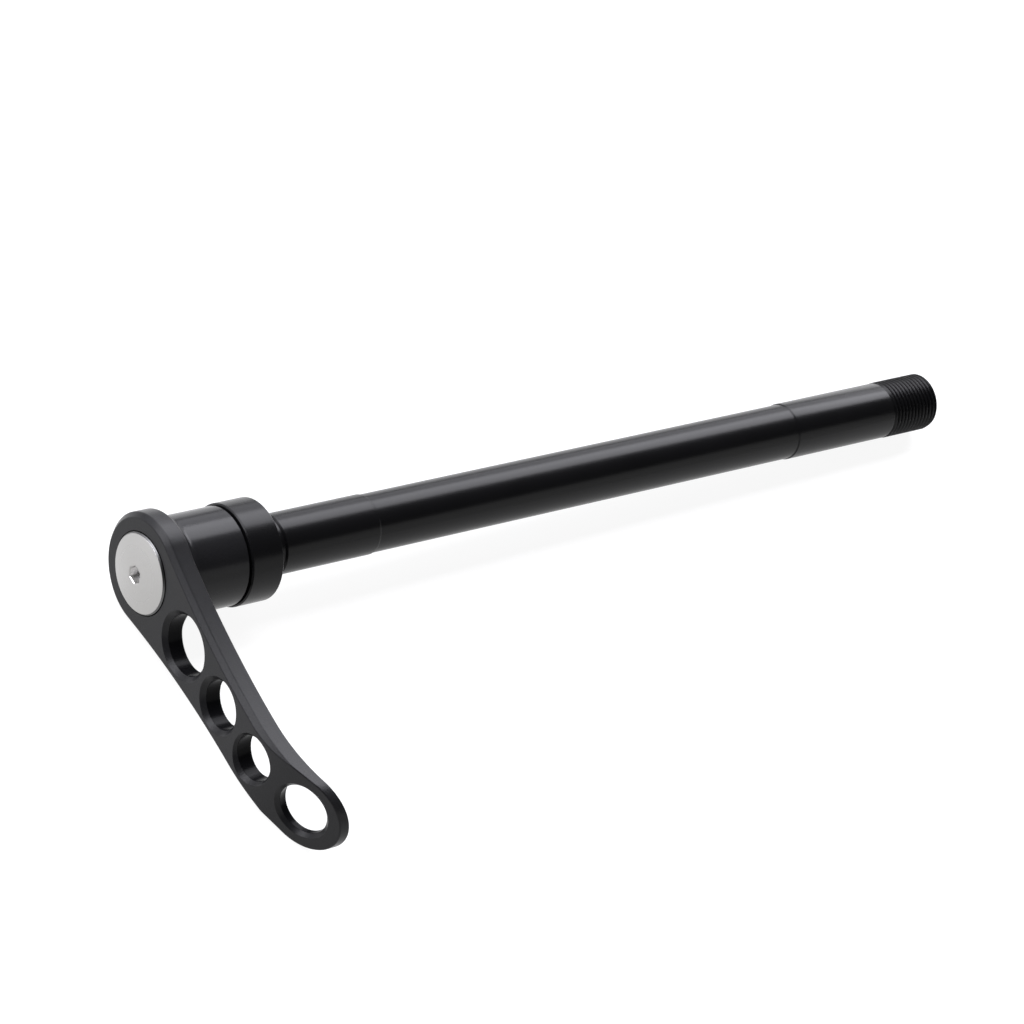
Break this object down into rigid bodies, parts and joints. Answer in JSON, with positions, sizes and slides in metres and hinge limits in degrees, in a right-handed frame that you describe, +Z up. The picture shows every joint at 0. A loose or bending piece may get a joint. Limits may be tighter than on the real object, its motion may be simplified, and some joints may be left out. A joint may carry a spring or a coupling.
{
  "type": "bicycle thru axle",
  "caption": "Black aluminium thru axle for a bicycle wheel with a pull-out perforated lever, a free-turning clamp ring, a silver cap and a fine end thread.",
  "frame": {"origin": "centre of the footprint, on the surface that the axle lies on", "axes": "+X runs along the axle to its thread end, which dips 1.6 degrees towards the surface; -Y points along the lever to its tip; +Z is up"},
  "size_m": [0.2044, 0.074, 0.0229],
  "materials": {
    "black_anodised_turned": "satin black anodised, finely turned",
    "black_anodised_milled": "satin black anodised, fine matte grain",
    "silver_turned": "finely turned silver",
    "spring_steel": "drawn spring steel",
    "dark_washer": "plain dark bearing plastic"
  },
  "bodies": {
    "axle": {"axle_shaft": "black_anodised_turned", "cap_screw": "silver_turned", "thrust_washer": "dark_washer", "retaining_clip": "spring_steel", "return_spring": "spring_steel"},
    "lever_arm": {"lever": "black_anodised_milled"},
    "clamp_ring": {"thrust_ring": "black_anodised_turned"}
  },
  "joints": [
    {"name": "lever_pull", "type": "slide", "parent": "axle", "child": "lever_arm", "axis": [-0.9996, 0, 0.0273], "range_m": [0, 0.004], "stiffness_N_per_m": 900, "springref_m": -0.005, "deforming": ["return_spring"]},
    {"name": "ring_spin", "type": "hinge", "parent": "axle", "child": "clamp_ring", "pos_m": [-0.07889, 0.02562, 0.01091], "axis": [0.9996, 0, -0.0273], "continuous": true}
  ]
}
